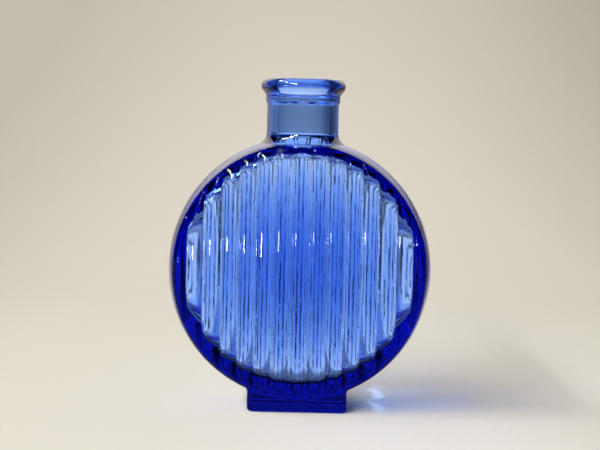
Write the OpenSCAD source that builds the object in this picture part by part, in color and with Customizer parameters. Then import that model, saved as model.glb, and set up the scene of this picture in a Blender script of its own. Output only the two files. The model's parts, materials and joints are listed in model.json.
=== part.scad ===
// Round flat bottle of cobalt-blue mould-blown glass.
// The body is a thick disc that stands on edge on a low rectangular foot.
// A short neck with a rolled lip rises from its rim, and both domed faces are reeded.
// The origin is the centre of the foot's underside: X runs across, Y through the bottle, Z up.

/* [Body] */
// Diameter of the round body at the middle of its rim
body_d = 104; // [94:1:116]
// Width of the rim band between the two rounded edges
rim_w = 31.4; // [28:0.2:38]
// Swell of the rim band at its middle
rim_bulge = 2.2; // [0.6:0.1:3]
// Radius of the rounded edge between the rim band and a face
edge_r = 3.8; // [3:0.1:5]
// Rise of a domed face from its edge to its centre
dome_rise = 3.7; // [3:0.1:5]
// Height of the round body above the table
body_lift = 3; // [2:0.5:5]

/* [Glass] */
// Thickness of a face at its centre, at the crest of a reed
face_wall = 6.3; // [5.4:0.1:7.5]
// Thickness of the rim at its middle
rim_wall = 6.9; // [4.2:0.1:8]
// Height of the hollow's centre above the body's, for a heavy base
hollow_rise = 1.2; // [0:0.1:1.4]
// Radius of the hollow's corners
hollow_corner_r = 3; // [2:0.5:5]

/* [Reeding] */
// Distance from one reed to the next, before the reeds are fitted to the width of a face
reed_pitch = 6.75; // [5.5:0.05:9]
// Height of a reed above the lines where its neighbours would meet it
reed_h = 2.15; // [1.2:0.05:2.5]
// Radius of the thin bead between two reeds
bead_r = 0.65; // [0.4:0.05:1]
// Depth of the beads' crests below the reeds' crests
bead_sink = 1.4; // [0.8:0.05:1.8]

/* [Neck] */
// Diameter of the bore
bore_d = 21.5; // [17:0.5:24]
// Thickness of the neck's wall
neck_wall = 3.45; // [2.5:0.05:4.5]
// Height of the neck from the top of the body to the lip
neck_h = 16.5; // [10:0.1:30]
// Radius of the fillet between the neck and the body
neck_fillet = 3.5; // [2:0.1:5]
// Radius of the flare from the bore into the hollow
throat_r = 3.5; // [2:0.1:4.5]
// Height of the tool ring under the lip
ring_h = 3; // [2:0.1:5]
// Width of the tool ring's step
ring_step = 0.5; // [0.2:0.1:1]

/* [Lip] */
// How far the rolled lip stands out past the neck
lip_out = 2.55; // [1.5:0.05:4]
// Height of the lip from its seat on the neck to its top
lip_h = 6.5; // [6.2:0.1:8]
// Radius of the lip's roll
roll_r = 2.9; // [2.3:0.1:3]
// Radius of the mouth's inner edge
mouth_r = 1.5; // [0.6:0.1:2]

/* [Foot] */
// Width of the foot
foot_w = 39; // [30:1:48]
// How far the foot runs past the rim band at the front and the back
foot_lap = 1.5; // [0.5:0.1:2.5]
// Radius of the foot's upright corners
foot_corner_r = 3; // [1.5:0.5:6]
// Radius of the foot's bottom edges
foot_edge_r = 1.2; // [0.4:0.1:2]

/* [Hidden] */
$fn = 120;
glass = [0.16, 0.27, 0.86, 0.6];

// Slack by which a cutting or overlapping shape runs past what it cuts
slack = 1;
// Glass kept beside the neck's fillet and beside the foot before the side walls begin
split_margin = 6;
// Depth to which the neck's fillet runs into the rim, and the throat's rounding into the hollow
fillet_sink = 0.15;
// Depth of the outermost reed crests under the top of the rounded edge
edge_sink = 0.2;
// Share of the reeds' spacing that lies beyond the crest of the outermost reed on each side
end_share = 0.4;

// Rim band and rounded edge
body_r = body_d / 2;
body_z = body_lift + body_r;
band = rim_w / 2;
band_r = body_r - rim_bulge;
barrel_r = (band * band + rim_bulge * rim_bulge) / (2 * rim_bulge);
flat_r = band_r - edge_r;

// Domed faces: crest_y is the crest's distance from the middle plane at the centre of a face
crest_y = band + edge_r - edge_sink + dome_rise;
dome_r = (flat_r * flat_r + dome_rise * dome_rise) / (2 * dome_rise);
dome_y = dome_r - crest_y;
dome_angle = 2 * asin((band_r + slack) / dome_r) + slack;

// Reeds and beads are circular in section, with their axes on two spheres inside the dome
reeds_a_side = round(band_r / reed_pitch - end_share);
reed_step = band_r / (reeds_a_side + end_share);
reed_r = (reed_step * reed_step / 4 + reed_h * reed_h) / (2 * reed_h);
reed_axis_r = dome_r - reed_r;
bead_axis_r = dome_r - bead_sink - bead_r;

// Hollow
hollow_r = body_r - rim_wall;
hollow_z = body_z + hollow_rise;
hollow_in = hollow_r - hollow_corner_r;
hollow_y = crest_y - face_wall;

// Neck: its fillet starts at neck_z and runs a little way into the rim
bore_r = bore_d / 2;
neck_r = bore_r + neck_wall;
fillet_r = neck_r + neck_fillet;
fillet_out = body_r + neck_fillet - fillet_sink;
neck_z = body_z + sqrt(fillet_out * fillet_out - fillet_r * fillet_r);
fillet_foot = fillet_r * body_r / fillet_out;
shoulder_half = fillet_foot + split_margin;

// Throat: the rounding of the inner edge where the bore opens into the hollow
throat_out = hollow_r + throat_r - fillet_sink;
throat_mid = bore_r + throat_r;
throat_z = hollow_z + sqrt(throat_out * throat_out - throat_mid * throat_mid);
throat_foot = throat_mid * hollow_r / throat_out;

// Lip: its underside slopes from the edge of its seat on the tool ring up to where it touches the roll
lip_z = body_z + body_r + neck_h;
top_z = lip_z + lip_h;
seat_r = neck_r + ring_step;
lip_r = neck_r + lip_out;
roll_x = lip_r - roll_r;
roll_z = top_z - roll_r;
roll_reach = norm([roll_x - seat_r, roll_z - lip_z]);
under_angle = atan2(roll_z - lip_z, roll_x - seat_r) - asin(roll_r / roll_reach);
under_length = sqrt(roll_reach * roll_reach - roll_r * roll_r);

// Foot: foot_h is where its corners run into the body
foot_y = band + foot_lap;
foot_reach = flat_r + sqrt(edge_r * edge_r - foot_lap * foot_lap);
foot_h = body_z - sqrt(foot_reach * foot_reach - foot_w * foot_w / 4) + slack;
foot_half = foot_w / 2 + split_margin;

// Turns a profile of radius and depth about the body's axis, which runs front to back
module turned_through(height) {
    translate([0, 0, height])
        rotate([90, 0, 0])
            rotate_extrude()
                children();
}

// The band of the rim, solid right to its axis
module rim_disc() {
    turned_through(body_z)
        intersection() {
            translate([body_r - barrel_r, 0])
                circle(barrel_r, $fn = 720);
            translate([0, -band])
                square([body_d, rim_w]);
        }
}

// What lies in front of the band: a disc with a rounded edge, higher than the face's crests
module front_cap() {
    turned_through(body_z)
        intersection() {
            translate([0, band])
                square([body_d, body_d]);
            union() {
                translate([flat_r, band])
                    circle(edge_r);
                square([flat_r, crest_y + slack]);
            }
        }
}

module back_cap() {
    mirror([0, 1, 0])
        front_cap();
}

// A dome made of upright reeds and beads: each is a ring about one axis that runs across behind the face
module reeded_dome() {
    translate([0, dome_y, body_z])
        rotate([-90, 0, 0])
            rotate([0, 90, 0])
                rotate([0, 0, -dome_angle / 2])
                    rotate_extrude(angle = dome_angle, $fn = 720)
                        reed_profile();
}

module reed_profile() {
    intersection() {
        translate([dome_y + band - slack, -body_r])
            square([crest_y, body_d]);
        union() {
            circle(reed_axis_r, $fn = 720);
            for (i = [-reeds_a_side : reeds_a_side])
                rod_section(i * reed_step, reed_axis_r, reed_r);
            for (i = [-reeds_a_side : reeds_a_side - 1])
                rod_section((i + 0.5) * reed_step, bead_axis_r, bead_r);
        }
    }
}

// The section of a reed or a bead that stands at x, with its axis on a sphere of the given radius
module rod_section(x, axis_r, radius) {
    translate([sqrt(axis_r * axis_r - x * x), x])
        circle(radius);
}

// The hollow: a flat round space with rounded corners, raised over the base
module hollow() {
    turned_through(hollow_z) {
        translate([0, -hollow_y])
            square([hollow_in, 2 * hollow_y]);
        translate([0, hollow_corner_r - hollow_y])
            square([hollow_r, 2 * (hollow_y - hollow_corner_r)]);
        for (side = [-1, 1])
            translate([hollow_in, side * (hollow_y - hollow_corner_r)])
                circle(hollow_corner_r);
    }
}

// The bore, with its rounded opening into the hollow
module bore() {
    translate([0, 0, hollow_z])
        cylinder(r = bore_r, h = top_z - hollow_z + slack);
    rotate_extrude()
        difference() {
            translate([0, hollow_z])
                square([throat_foot, throat_z - hollow_z]);
            translate([throat_mid, throat_z])
                circle(throat_r);
        }
}

// The fillet that leads from the rim up to the neck, no wider than the rim band
module neck_root() {
    intersection() {
        rotate_extrude()
            difference() {
                translate([0, hollow_z])
                    square([fillet_foot, neck_z - hollow_z]);
                translate([fillet_r, neck_z])
                    circle(neck_fillet);
            }
        translate([-body_r, -band, 0])
            cube([body_d, rim_w, top_z]);
    }
}

// Upright slabs that share the rim among the shoulder, the foot and the two side walls
module shoulder_slab() {
    translate([-shoulder_half, -body_r, body_z])
        cube([2 * shoulder_half, body_d, body_d]);
}

module foot_slab() {
    translate([-foot_half, -body_r, body_z - body_d])
        cube([2 * foot_half, body_d, body_d]);
}

// A slab of the given width and height, extruded along Y, with rounded bottom edges
module round_bottomed(width, length) {
    rotate([90, 0, 0])
        translate([0, 0, -length / 2])
            linear_extrude(length)
                union() {
                    for (side = [-1, 1])
                        translate([side * (width / 2 - foot_edge_r), foot_edge_r])
                            circle(foot_edge_r);
                    translate([foot_edge_r - width / 2, 0])
                        square([width - 2 * foot_edge_r, foot_h]);
                    translate([-width / 2, foot_edge_r])
                        square([width, foot_h - foot_edge_r]);
                }
}

module foot_block() {
    intersection() {
        round_bottomed(foot_w, body_d);
        rotate([0, 0, 90])
            round_bottomed(2 * foot_y, body_d);
        linear_extrude(foot_h)
            union() {
                square([foot_w - 2 * foot_corner_r, 2 * foot_y], center = true);
                square([foot_w, 2 * (foot_y - foot_corner_r)], center = true);
                for (x = [-1, 1], y = [-1, 1])
                    translate([x * (foot_w / 2 - foot_corner_r), y * (foot_y - foot_corner_r)])
                        circle(foot_corner_r);
            }
    }
}

module lip() {
    color(glass)
        rotate_extrude()
            intersection() {
                translate([bore_r, lip_z])
                    square([lip_r, lip_h]);
                union() {
                    translate([roll_x, roll_z])
                        circle(roll_r);
                    translate([bore_r + mouth_r, top_z - mouth_r])
                        circle(mouth_r);
                    translate([bore_r + mouth_r, roll_z])
                        square([roll_x - bore_r - mouth_r, roll_r]);
                    translate([bore_r, roll_z])
                        square([roll_x - bore_r, roll_r - mouth_r]);
                    lip_underside();
                }
            }
}

// The lip's profile below the middle of its roll
module lip_underside() {
    polygon([
        [bore_r, lip_z],
        [seat_r, lip_z],
        [seat_r + under_length * cos(under_angle), lip_z + under_length * sin(under_angle)],
        [roll_x, roll_z],
        [bore_r, roll_z],
    ]);
}

module neck() {
    color(glass)
        rotate_extrude() {
            translate([bore_r, neck_z])
                square([neck_r - bore_r, lip_z - neck_z]);
            translate([bore_r, lip_z - ring_h])
                square([seat_r - bore_r, ring_h]);
        }
}

module shoulder() {
    color(glass)
        difference() {
            union() {
                intersection() {
                    rim_disc();
                    shoulder_slab();
                }
                neck_root();
            }
            front_cap();
            back_cap();
            hollow();
            bore();
        }
}

module front_wall() {
    color(glass)
        difference() {
            intersection() {
                front_cap();
                reeded_dome();
            }
            hollow();
        }
}

module back_wall() {
    mirror([0, 1, 0])
        front_wall();
}

module right_wall() {
    color(glass)
        difference() {
            intersection() {
                rim_disc();
                translate([0, -body_r, 0])
                    cube([body_r + slack, body_d, body_z + body_r + slack]);
            }
            shoulder_slab();
            foot_slab();
            hollow();
        }
}

module left_wall() {
    mirror([1, 0, 0])
        right_wall();
}

module foot() {
    color(glass)
        difference() {
            union() {
                intersection() {
                    rim_disc();
                    foot_slab();
                }
                foot_block();
            }
            front_cap();
            back_cap();
            hollow();
        }
}

lip();
neck();
shoulder();
front_wall();
back_wall();
left_wall();
right_wall();
foot();
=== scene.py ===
# Dresses the round flat bottle as one unbroken body of cobalt-blue glass on a pale sweep.
# The glass is drawn as a field of distances, negative inside the glass, and meshed from it.
import functools
import json
import math

import bpy
import numpy as np
from mathutils import Matrix, Vector


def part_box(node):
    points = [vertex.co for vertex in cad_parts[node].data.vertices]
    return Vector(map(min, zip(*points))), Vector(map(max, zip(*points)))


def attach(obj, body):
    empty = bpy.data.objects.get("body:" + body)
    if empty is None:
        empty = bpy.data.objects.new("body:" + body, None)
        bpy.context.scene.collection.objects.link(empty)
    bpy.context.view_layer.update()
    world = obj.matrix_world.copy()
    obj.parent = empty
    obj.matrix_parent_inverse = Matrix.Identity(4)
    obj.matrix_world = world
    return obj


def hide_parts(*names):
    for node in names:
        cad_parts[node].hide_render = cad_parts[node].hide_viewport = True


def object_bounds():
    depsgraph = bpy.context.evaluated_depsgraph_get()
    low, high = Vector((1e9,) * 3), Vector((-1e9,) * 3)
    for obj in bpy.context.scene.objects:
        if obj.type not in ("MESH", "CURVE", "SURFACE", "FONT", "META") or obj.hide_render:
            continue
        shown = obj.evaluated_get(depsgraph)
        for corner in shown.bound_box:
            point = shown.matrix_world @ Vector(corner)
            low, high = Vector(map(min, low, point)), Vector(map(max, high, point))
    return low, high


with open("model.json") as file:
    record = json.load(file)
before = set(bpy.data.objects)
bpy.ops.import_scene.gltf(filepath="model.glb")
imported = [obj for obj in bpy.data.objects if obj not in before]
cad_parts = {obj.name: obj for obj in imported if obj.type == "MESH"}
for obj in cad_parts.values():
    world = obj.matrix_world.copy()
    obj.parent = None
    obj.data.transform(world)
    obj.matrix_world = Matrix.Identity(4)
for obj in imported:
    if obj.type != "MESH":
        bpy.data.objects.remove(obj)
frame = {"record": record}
cad_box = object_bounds()

MM = 0.001
NODES = ["lip", "neck", "shoulder", "front_wall", "back_wall", "left_wall", "right_wall", "foot"]


def corners(node):
    """Lowest and highest corner of a CAD node in millimetres."""
    low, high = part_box(node)
    return np.array(low) / MM, np.array(high) / MM


# Sizes that the frame gives, in millimetres
front_low, front_high = corners("front_wall")
rim_high = corners("right_wall")[1]
neck_high = corners("neck")[1]
lip_low, lip_high = corners("lip")
foot_high = corners("foot")[1]
mouth = next(mount for mount in frame["record"]["mounts"] if mount["name"] == "mouth")

BODY_R = rim_high[0]
BODY_Z = (front_low[2] + front_high[2]) / 2
BAND = -front_high[1]
BAND_R = (front_high[0] - front_low[0]) / 2
CREST = -front_low[1]
BORE_R = mouth["dims"]["r_mm"]
RING_R = neck_high[0]
LIP_Z = lip_low[2]
TOP_Z = lip_high[2]
LIP_R = lip_high[0]
FOOT_Y = foot_high[1]

# Sizes of forms that the frame's boxes don't tell, in millimetres
EDGE_R = 3.8
EDGE_SINK = 0.2
REEDS_A_SIDE = 7
END_SHARE = 0.4
REED_H = 2.15
BEAD_R = 0.65
BEAD_SINK = 1.4
VALLEY_R = 0.15
SCALLOP_R = 0.5
RING_STEP = 0.5
RING_H = 3.0
NECK_FILLET = 3.5
THROAT_R = 5.0
MOUTH_R = 1.4
ROLL_R = 2.9
FOOT_W = 39.0
FOOT_H = 10.6
FOOT_CORNER_R = 3.0
FOOT_EDGE_R = 1.2
FOOT_FILLET = 1.0
FACE_WALL = 6.3
HOLLOW_RISE = 1.2
HOLLOW_CORNER_R = 3.0
LENS_RISE = 1.2
LENS_R = 24.0
RIM_WALL = 6.9

# Sizes worked out from those
FLAT_R = BAND_R - EDGE_R
DOME_RISE = CREST - BAND - EDGE_R + EDGE_SINK
DOME_R = (FLAT_R ** 2 + DOME_RISE ** 2) / (2 * DOME_RISE)
REED_PITCH = BAND_R / (REEDS_A_SIDE + END_SHARE)
REED_R = (REED_PITCH ** 2 / 4 + REED_H ** 2) / (2 * REED_H)
RIM_BULGE = BODY_R - BAND_R
BARREL_R = (BAND ** 2 + RIM_BULGE ** 2) / (2 * RIM_BULGE)
NECK_R = RING_R - RING_STEP
ROLL_X = LIP_R - ROLL_R
ROLL_Z = TOP_Z - ROLL_R
ROLL_REACH = math.hypot(ROLL_X - RING_R, ROLL_Z - LIP_Z)
UNDER_ANGLE = math.atan2(ROLL_Z - LIP_Z, ROLL_X - RING_R) - math.asin(ROLL_R / ROLL_REACH)
UNDER_H = math.sqrt(ROLL_REACH ** 2 - ROLL_R ** 2) * math.sin(UNDER_ANGLE)
HOLLOW_R = BODY_R - RIM_WALL
HOLLOW_Z = BODY_Z + HOLLOW_RISE
HOLLOW_HALF = CREST - FACE_WALL

# Widths of the mesh's cells, in millimetres: narrow across the reeds and where forms are small
ACROSS_CELL = 0.55
FINE_CELL = 0.75
COARSE_CELL = 1.25
MARGIN = 2.5

# How the mesh's points are drawn onto the surface, with lengths in millimetres
SETTLE_ROUNDS = 3
SLOPE_STEP = 0.02
LEAST_SLOPE = 0.5
ON_SURFACE = 0.1

# Colours of the glass, the light, the painted glow and painted caustic on the paper, and the paper
WHITE = (1, 1, 1, 1)
BLACK = (0, 0, 0, 1)
GLASS_COLOUR = (0.365, 0.59, 0.92, 1)
LAMP_COLOUR = (1, 0.98, 0.96)
ROOM_COLOUR = (1, 0.97, 0.9, 1)
PAINTED_GLOW_COLOUR = (1, 0.97, 0.93, 1)
PAINTED_CAUSTIC_COLOUR = (0.35, 0.6, 1, 1)
# The paper's colour with painted falloff of light: lightest near the bottle, darker far off
PAPER_FALLOFF_NEAR = (0.80, 0.78, 0.72, 1)
PAPER_FALLOFF_BESIDE = (0.73, 0.71, 0.64, 1)
PAPER_FALLOFF_BEHIND = (0.69, 0.665, 0.585, 1)
PAPER_FALLOFF_FAR = (0.475, 0.445, 0.39, 1)


def all_of(*fields):
    """Where every field is inside, with sharp edges."""
    return functools.reduce(np.maximum, fields)


def rounded_and(a, b, radius):
    """Where both fields are inside, with an edge of that radius."""
    edge = np.hypot(np.maximum(a + radius, 0), np.maximum(b + radius, 0))
    return np.minimum(np.maximum(a, b), -radius) + edge


def rounded_or(a, b, radius):
    """Where either field is inside, with a fillet of that radius."""
    return -rounded_and(-a, -b, radius)


def rod(beside, above_crest, radius):
    """A long rod of round section with its crest at height 0, filled in below its axis."""
    return np.hypot(beside, np.maximum(above_crest + radius, 0)) - radius


def reeds(x, above_crest):
    """Upright reeds side by side with a thin bead between each two. The reeds' crests lie at height 0."""
    turn = x / REED_PITCH
    reed = rod(REED_PITCH * (turn - np.round(turn)), above_crest, REED_R)
    bead = rod(REED_PITCH * (turn - np.floor(turn) - 0.5), above_crest + BEAD_SINK, BEAD_R)
    return rounded_or(reed, bead, VALLEY_R)


def body_field(x, y, z):
    """The round body: a swelling rim band, rounded edges and domed reeded faces."""
    r = np.hypot(x, z - BODY_Z)
    depth = np.abs(y)
    rim = r - BODY_R + depth ** 2 / (2 * BARREL_R)
    edge = rounded_and(rim, depth - BAND - EDGE_R, EDGE_R)
    disc = np.minimum(edge, r - FLAT_R)
    return rounded_and(disc, reeds(x, depth - CREST + r ** 2 / (2 * DOME_R)), SCALLOP_R)


def neck_field(x, y, z):
    """The neck with its tool ring."""
    from_axis = np.hypot(x, y)
    shaft = all_of(from_axis - NECK_R, z - ROLL_Z, BODY_Z - z)
    ring = rounded_and(from_axis - RING_R, np.maximum(z - ROLL_Z, LIP_Z - RING_H - z), RING_STEP)
    return rounded_or(shaft, ring, RING_STEP)


def lip_field(x, y, z):
    """The rolled lip with its sloping underside, filled in to the axis."""
    from_axis = np.hypot(x, y)
    roll = np.hypot(from_axis - ROLL_X, z - ROLL_Z) - ROLL_R
    core = all_of(from_axis - ROLL_X, z - TOP_Z, LIP_Z - z)
    beside = (from_axis - RING_R) * math.sin(UNDER_ANGLE) - (z - LIP_Z) * math.cos(UNDER_ANGLE)
    underside = all_of(beside, z - LIP_Z - UNDER_H, LIP_Z - z)
    return np.minimum(np.minimum(roll, core), underside)


def foot_field(x, y, z):
    """The rectangular foot, with round corners and bottom edges."""
    side_x = np.abs(x) - FOOT_W / 2
    side_y = np.abs(y) - FOOT_Y
    plan = rounded_and(side_x, side_y, FOOT_CORNER_R)
    return np.maximum(rounded_and(plan, -z, FOOT_EDGE_R), z - FOOT_H)


def hollow_field(x, y, z):
    """The hollow, narrower where the faces are thickest, with a throat that flares from the bore."""
    r = np.hypot(x, z - HOLLOW_Z)
    half = HOLLOW_HALF - LENS_RISE * np.exp(-(r / LENS_R) ** 2)
    hollow = rounded_and(r - HOLLOW_R, np.abs(y) - half, HOLLOW_CORNER_R)
    bore = np.maximum(np.hypot(x, y) - BORE_R, HOLLOW_Z - z)
    return rounded_or(hollow, bore, THROAT_R)


def glass_field(x, y, z):
    """The whole bottle: body, neck, lip and foot in one, less the hollow."""
    outside = rounded_or(body_field(x, y, z), neck_field(x, y, z), NECK_FILLET)
    outside = rounded_or(outside, lip_field(x, y, z), RING_STEP)
    outside = rounded_or(outside, foot_field(x, y, z), FOOT_FILLET)
    return rounded_and(outside, -hollow_field(x, y, z), MOUTH_R)


def slope(points):
    """The field's gradient at each point."""
    out = np.empty_like(points)
    for axis in range(3):
        shift = np.zeros(3)
        shift[axis] = SLOPE_STEP
        ahead = glass_field(*(points + shift).T)
        behind = glass_field(*(points - shift).T)
        out[:, axis] = (ahead - behind) / (2 * SLOPE_STEP)
    return out


def cell_corners():
    """The eight corners of a cell, as whole steps."""
    return np.array([(i, j, k) for i in (0, 1) for j in (0, 1) for k in (0, 1)])


def stretch(start, end, width):
    """Steps of about that width from start up to, and not including, end."""
    return np.linspace(start, end, math.ceil((end - start) / width), endpoint=False)


def grid_axes(low, high):
    """Grid lines across, through and up the bottle."""
    across = stretch(low[0], high[0], ACROSS_CELL)
    through = [
        stretch(low[1], -BAND, FINE_CELL),
        stretch(-BAND, BAND, COARSE_CELL),
        stretch(BAND, high[1], FINE_CELL),
    ]
    upright = [
        stretch(low[2], FOOT_H, FINE_CELL),
        stretch(FOOT_H, BODY_Z + FLAT_R, COARSE_CELL),
        stretch(BODY_Z + FLAT_R, high[2], FINE_CELL),
    ]
    return [across, np.concatenate(through), np.concatenate(upright)]


def surface_net(axes):
    """Points and four-sided faces where the field is zero, with one point in each cell that is crossed."""
    grid = glass_field(*np.meshgrid(*axes, indexing="ij", sparse=True))
    shape = np.array(grid.shape) - 1
    corner = cell_corners()
    parts = [grid[i:i + shape[0], j:j + shape[1], k:k + shape[2]] for i, j, k in corner]
    inside = sum((part < 0).astype(np.int8) for part in parts)
    crossed = (inside > 0) & (inside < 8)
    cells = np.argwhere(crossed)
    value = np.stack([part[crossed] for part in parts], axis=1)
    total = np.zeros((len(cells), 3))
    count = np.zeros(len(cells))
    for a in range(8):
        for b in range(a + 1, 8):
            if np.abs(corner[b] - corner[a]).sum() != 1:
                continue
            cut = (value[:, a] < 0) != (value[:, b] < 0)
            share = value[cut, a] / (value[cut, a] - value[cut, b])
            total[cut] += corner[a] + share[:, None] * (corner[b] - corner[a])
            count[cut] += 1
    place = cells + total / count[:, None]
    points = np.stack([np.interp(place[:, a], np.arange(len(axes[a])), axes[a]) for a in range(3)], axis=1)
    number = np.full(crossed.shape, -1)
    number[crossed] = np.arange(len(cells))
    faces = [net_faces(grid < 0, number, axis) for axis in range(3)]
    return points, np.concatenate(faces)


def net_faces(inside, number, axis):
    """A face for each grid edge along an axis that the surface crosses, round the four cells beside it."""
    u, v = (axis + 1) % 3, (axis + 2) % 3
    start = np.moveaxis(inside, (axis, u, v), (0, 1, 2))
    cells = np.moveaxis(number, (axis, u, v), (0, 1, 2))
    here = start[:-1, 1:-1, 1:-1]
    there = start[1:, 1:-1, 1:-1]
    ring = [cells[:, :-1, :-1], cells[:, 1:, :-1], cells[:, 1:, 1:], cells[:, :-1, 1:]]
    leaving = here & ~there
    entering = ~here & there
    out = np.stack([part[leaving] for part in ring], axis=1)
    back = np.stack([part[entering] for part in ring[::-1]], axis=1)
    return np.concatenate([out, back])


def glass_mesh():
    """The bottle's glass as one closed mesh, in metres, with the field's own normals."""
    low = np.array(cad_box[0]) / MM - MARGIN
    high = np.array(cad_box[1]) / MM + MARGIN
    points, faces = surface_net(grid_axes(low, high))
    for _ in range(SETTLE_ROUNDS):
        grade = slope(points)
        step = glass_field(*points.T) / np.maximum((grade ** 2).sum(1), LEAST_SLOPE ** 2)
        points = points - step[:, None] * grade
    mesh = bpy.data.meshes.new("glass_bottle")
    mesh.from_pydata(points * MM, [], faces.tolist())
    mesh.polygons.foreach_set("use_smooth", np.ones(len(faces), bool))
    grade = slope(points)
    grade /= np.linalg.norm(grade, axis=1)[:, None]
    mesh.normals_split_custom_set_from_vertices(grade)
    mesh.attributes.new("relief", "FLOAT", "POINT").data.foreach_set("value", relief_mask(points))
    return mesh


def relief_mask(points):
    """1 on the reeded faces and 0 on all other glass."""
    x, y, z = points.T
    on_face = np.abs(body_field(x, y, z)) < ON_SURFACE
    in_panel = np.hypot(x, z - BODY_Z) < FLAT_R
    return (on_face & in_panel & (np.abs(y) > BAND)).astype(np.float32)


class Graph:
    """The nodes of one material or of the world."""

    def __init__(self, tree):
        self.tree = tree

    def node(self, kind, inputs, **settings):
        """A new node of that kind. An input that is another node's output is linked, and others are set."""
        node = self.tree.nodes.new("ShaderNode" + kind)
        for name, value in settings.items():
            setattr(node, name, value)
        for name, value in inputs.items():
            if isinstance(value, bpy.types.NodeSocket):
                self.tree.links.new(value, node.inputs[name])
            else:
                node.inputs[name].default_value = value
        return node

    def math(self, operation, *values):
        """The result of a math operation on outputs or numbers."""
        return self.node("Math", dict(enumerate(values)), operation=operation).outputs["Value"]

    def step(self, value, before, after):
        """Runs smoothly from one end of after to the other while the value runs along before."""
        inputs = {"Value": value}
        inputs["From Min"], inputs["From Max"] = before
        inputs["To Min"], inputs["To Max"] = after
        return self.node("MapRange", inputs, interpolation_type="SMOOTHSTEP").outputs["Result"]

    def mix(self, share, a, b):
        """One colour turning into another as the share runs from 0 to 1."""
        return self.node("Mix", {"Factor": share, "A": a, "B": b}, data_type="RGBA").outputs["Result"]

    def wave(self, value, rate):
        """Smooth noise between 0 and 1 along a value."""
        inputs = {"W": value, "Scale": rate, "Detail": 1.0}
        return self.node("TexNoise", inputs, noise_dimensions="1D").outputs["Fac"]

    def place(self):
        """Where a point is, in metres from the middle of the foot's underside."""
        return self.node("TexCoord", {}).outputs["Object"]


def new_material(name):
    """An empty material and its graph."""
    material = bpy.data.materials.new(name)
    material.use_nodes = True
    material.node_tree.nodes.clear()
    return material, Graph(material.node_tree)


def glass_material():
    """Fire-polished glass that is coloured through by its volume."""
    material, graph = new_material("cobalt_glass")
    surface = {
        "Base Color": WHITE,
        "Roughness": 0.015,
        "IOR": 1.5,
        "Transmission Weight": 1.0,
        "Normal": unevenness(graph),
    }
    shader = graph.node("BsdfPrincipled", surface)
    absorb = graph.node("VolumeAbsorption", {"Color": GLASS_COLOUR, "Density": 400})
    graph.node("OutputMaterial", {"Surface": shader.outputs["BSDF"], "Volume": absorb.outputs["Volume"]})
    return material


def unevenness(graph):
    """The unevenness of blown glass, with fine upright scratches on the reeded faces, as a normal."""
    scratch_rates = (1000, 150, 60)
    swell_rate = 45
    swell_share = 9
    place = graph.place()
    stretched = graph.node("Mapping", {"Vector": place, "Scale": scratch_rates})
    scratches = graph.node("TexNoise", {"Vector": stretched.outputs["Vector"], "Scale": 1.0})
    swell = graph.node("TexNoise", {"Vector": place, "Scale": swell_rate, "Detail": 0.0})
    mask = graph.node("Attribute", {}, attribute_name="relief")
    fine = graph.math("MULTIPLY", scratches.outputs["Fac"], mask.outputs["Fac"])
    height = graph.math("MULTIPLY_ADD", swell.outputs["Fac"], swell_share, fine)
    bump = graph.node("Bump", {"Strength": 0.25, "Distance": 0.0003, "Height": height})
    return bump.outputs["Normal"]


def make_bottle():
    """The glass, which stands for all the nodes at once."""
    bottle = bpy.data.objects.new("glass_bottle", glass_mesh())
    bpy.context.collection.objects.link(bottle)
    bottle.data.materials.append(glass_material())
    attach(bottle, "root")
    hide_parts(*NODES)


def sweep_material():
    """Matt pale paper with painted light and shade: painted shade and painted glow where the glass reflects
    it or shows it through, and a painted caustic beside the foot.
    """
    material, graph = new_material("sweep_paper")
    place = graph.place()
    x, y, z = graph.node("SeparateXYZ", {"Vector": place}).outputs
    ray = graph.node("LightPath", {}).outputs

    # Painted shade: the paper turns dark in the glass's reflections and where the glass shows it to the
    # sides
    dim_mirrored = graph.math("MULTIPLY", mirrored_painted_shade(graph, x, y), ray["Is Glossy Ray"])
    dim_through = graph.math("MULTIPLY", side_painted_shade(graph, x, y, z), ray["Is Transmission Ray"])
    dim = graph.math("ADD", dim_mirrored, dim_through)

    # Painted light: the paper glows through the glass and in reflections of its upper part, and shows a
    # painted caustic to the camera
    lit_through = graph.math("SUBTRACT", ray["Is Transmission Ray"], dim_through)
    glow = graph.math("MULTIPLY", painted_floor_glow(graph, y, z), lit_through)
    glow = graph.math("MULTIPLY_ADD", painted_high_sheen(graph, z), ray["Is Glossy Ray"], glow)
    glow = graph.math("MULTIPLY_ADD", painted_caustic(graph, place), ray["Is Camera Ray"], glow)

    surface = {
        "Base Color": graph.mix(dim, paper_tone_with_painted_falloff(graph, place), BLACK),
        "Roughness": 0.9,
        "Specular IOR Level": 0.1,
        "Emission Color": graph.mix(ray["Is Camera Ray"], PAINTED_GLOW_COLOUR, PAINTED_CAUSTIC_COLOUR),
        "Emission Strength": glow,
    }
    paper = graph.node("BsdfPrincipled", surface)
    graph.node("OutputMaterial", {"Surface": paper.outputs["BSDF"]})
    return material


def paper_tone_with_painted_falloff(graph, place):
    """The paper's colour with painted shade where less light falls: darker far from the bottle and sooner
    so to its sides.
    """
    squeeze = {"Vector": place, "Location": (-0.12, 0, 0), "Scale": (2.5, 0.625, 0.625)}
    squeezed = graph.node("Mapping", squeeze).outputs["Vector"]
    away = graph.node("VectorMath", {0: squeezed}, operation="LENGTH").outputs["Value"]
    tone = graph.node("ValToRGB", {"Fac": away})
    stops = tone.color_ramp.elements
    stops[0].position, stops[0].color = 0.08, PAPER_FALLOFF_NEAR
    stops[1].position, stops[1].color = 1.0, PAPER_FALLOFF_FAR
    stops.new(0.25).color = PAPER_FALLOFF_BESIDE
    stops.new(0.5).color = PAPER_FALLOFF_BEHIND
    return tone.outputs["Color"]


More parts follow.
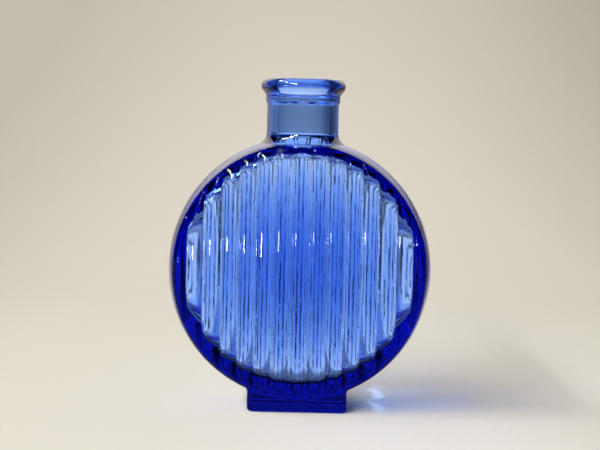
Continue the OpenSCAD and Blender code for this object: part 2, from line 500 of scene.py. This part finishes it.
def mirrored_painted_shade(graph, x, y):
    """Painted shade in reflections: how dark reflections show the paper, dark in front of the bottle and
    dim to its right.
    """
    front = graph.step(y, before=(0.25, -0.05), after=(0.0, 0.95))
    right = graph.step(x, before=(0.05, 0.4), after=(0.0, 0.4))
    return graph.math("MAXIMUM", front, right)


def side_painted_shade(graph, x, y, z):
    """Painted shade seen through the glass: how dark the glass shows the low paper to both sides. In front
    it is dark only further out.
    """
    side = graph.math("ABSOLUTE", x)
    wider = graph.step(y, before=(-0.12, 0.0), after=(0.35, 0.0))
    side = graph.math("SUBTRACT", side, wider)
    aside = graph.step(side, before=(0.10, 0.45), after=(0.0, 0.97))
    near_floor = graph.step(z, before=(0.06, 0.11), after=(1.0, 0.0))
    return graph.math("MULTIPLY", aside, near_floor)


def painted_floor_glow(graph, y, z):
    """Painted glow: how the low paper glows through the glass, though it is no lamp, behind the bottle and
    in front but not beside it.
    """
    darkest_y = -0.02
    low = graph.step(z, before=(0.03, 0.12), after=(0.85, 0.0))
    depth = graph.math("SUBTRACT", y, darkest_y)
    depth = graph.math("ABSOLUTE", depth)
    clear = graph.step(depth, before=(0.0, 0.12), after=(0.0, 1.0))
    return graph.math("MULTIPLY", low, clear)


def painted_high_sheen(graph, z):
    """Painted sheen: how bright reflections show the upper part of the paper, which glows in them though it
    is no lamp.
    """
    return graph.step(z, before=(0.15, 0.6), after=(0.0, 0.9))


def painted_caustic(graph, place):
    """A painted caustic: a swaying bright line that glows on the paper right of the foot, where the rim
    would gather the light, and its soft tail.
    """
    middle = (0.0325, 0.018, 0)
    unit = (0.01, 0.04, 1)
    sway_width = 1.2
    spread = {"Vector": place, "Location": middle, "Scale": unit}
    patch = graph.node("Mapping", spread, vector_type="TEXTURE").outputs["Vector"]
    x, y, _ = graph.node("SeparateXYZ", {"Vector": patch}).outputs

    depth = graph.math("ABSOLUTE", y)
    inside = graph.step(depth, before=(0.4, 1.0), after=(1.0, 0.0))
    sway = graph.math("SUBTRACT", graph.wave(y, rate=2.2), 0.5)
    off_line = graph.math("MULTIPLY_ADD", sway, -sway_width, x)
    distance = graph.math("ABSOLUTE", off_line)
    line = graph.step(distance, before=(0.0, 0.36), after=(0.5, 0.0))
    spots = graph.step(graph.wave(y, rate=3.7), before=(0.35, 0.6), after=(0.25, 1.0))
    line = graph.math("MULTIPLY", line, spots)

    tail = graph.step(x, before=(0.0, 4.5), after=(0.19, 0.0))
    start = graph.step(off_line, before=(-1.5, 0.0), after=(0.0, 1.0))
    tail = graph.math("MULTIPLY", tail, start)
    light = graph.math("ADD", line, tail)
    return graph.math("MULTIPLY", light, inside)


def make_sweep():
    """A sheet of paper that lies under the bottle and curves up behind it."""
    half_width = 2.0
    near, far = -1.6, 0.35
    radius = 1.2
    top = 2.0
    turns = 48
    air_gap = 0.0001
    line = [(near, 0.0), (far, 0.0)]
    for i in range(1, turns + 1):
        angle = math.pi / 2 * i / turns
        line.append((far + radius * math.sin(angle), radius - radius * math.cos(angle)))
    line.append((far + radius, top))
    points = [(side * half_width, y, z - air_gap) for y, z in line for side in (-1, 1)]
    faces = [(2 * i, 2 * i + 1, 2 * i + 3, 2 * i + 2) for i in range(len(line) - 1)]
    mesh = bpy.data.meshes.new("sweep")
    mesh.from_pydata(points, [], faces)
    mesh.polygons.foreach_set("use_smooth", np.ones(len(faces), bool))
    sweep = bpy.data.objects.new("sweep", mesh)
    bpy.context.collection.objects.link(sweep)
    sweep.data.materials.append(sweep_material())


def area_light(name, ways, reach, width, watts):
    """A lamp that spans two ways out from the middle of the bottle, at one reach, and faces the bottle."""
    middle = Vector((0, 0, BODY_Z * MM))
    start, end = (reach * Vector(way).normalized() for way in ways)
    data = bpy.data.lights.new(name, "AREA")
    data.shape = "RECTANGLE"
    data.size, data.size_y = (end - start).length, width
    data.energy = watts
    data.color = LAMP_COLOUR
    lamp = bpy.data.objects.new(name, data)
    along = (end - start).normalized()
    back = (start + end).normalized()
    turn = Matrix((along, back.cross(along), back)).transposed()
    lamp.matrix_world = Matrix.Translation(middle + (start + end) / 2) @ turn.to_4x4()
    bpy.context.collection.objects.link(lamp)
    return lamp


def make_lights():
    """A long narrow window from the left round to the front, a soft glow from the left and a glint."""
    area_light("window", [(-0.87, 0.1, 1), (-0.87, -3, 1)], reach=4, width=0.15, watts=157)
    wall = area_light("wall", [(-1.7, 1.2, 1), (-1.7, -0.2, 1)], reach=4, width=1.2, watts=38)
    wall.visible_glossy = False
    area_light("glint", [(-0.7, -0.7, -0.01), (-0.8, -0.6, -0.01)], reach=1, width=0.05, watts=0.8)


def make_room():
    """A pale room for the camera that is dim in the glass's reflections."""
    shares = {"Is Camera Ray": 0.7, "Is Transmission Ray": 0.45, "Is Diffuse Ray": 0.15}
    world = bpy.data.worlds.new("room")
    world.use_nodes = True
    world.node_tree.nodes.clear()
    graph = Graph(world.node_tree)
    path = graph.node("LightPath", {})
    strength = 0.0
    for ray, share in shares.items():
        strength = graph.math("MULTIPLY_ADD", path.outputs[ray], share, strength)
    light = graph.node("Background", {"Color": ROOM_COLOUR, "Strength": strength})
    graph.node("OutputWorld", {"Surface": light.outputs["Background"]})
    bpy.context.scene.world = world


def make_camera():
    """Set where the photograph was taken from, looking down and leaning as it did."""
    place = (-0.0002, -0.600, 0.1131)
    look_down = math.radians(3.90)
    lean = math.radians(1.28)
    data = bpy.data.cameras.new("camera")
    data.sensor_width = 36.0
    data.lens = 90.67
    camera = bpy.data.objects.new("camera", data)
    bpy.context.collection.objects.link(camera)
    camera.matrix_world = (
        Matrix.Translation(place)
        @ Matrix.Rotation(math.pi / 2 - look_down, 4, "X")
        @ Matrix.Rotation(lean, 4, "Z")
    )
    bpy.context.scene.camera = camera


def set_up_render():
    """Lets light pass all the glass's walls, and keeps its colours as they are."""
    scene = bpy.context.scene
    scene.view_settings.view_transform = "Standard"
    scene.cycles.max_bounces = 24
    scene.cycles.transmission_bounces = 24
    scene.cycles.glossy_bounces = 8
    scene.cycles.blur_glossy = 0.0
    scene.cycles.sample_clamp_indirect = 0.0


make_camera()
make_bottle()
make_sweep()
make_lights()
make_room()
set_up_render()
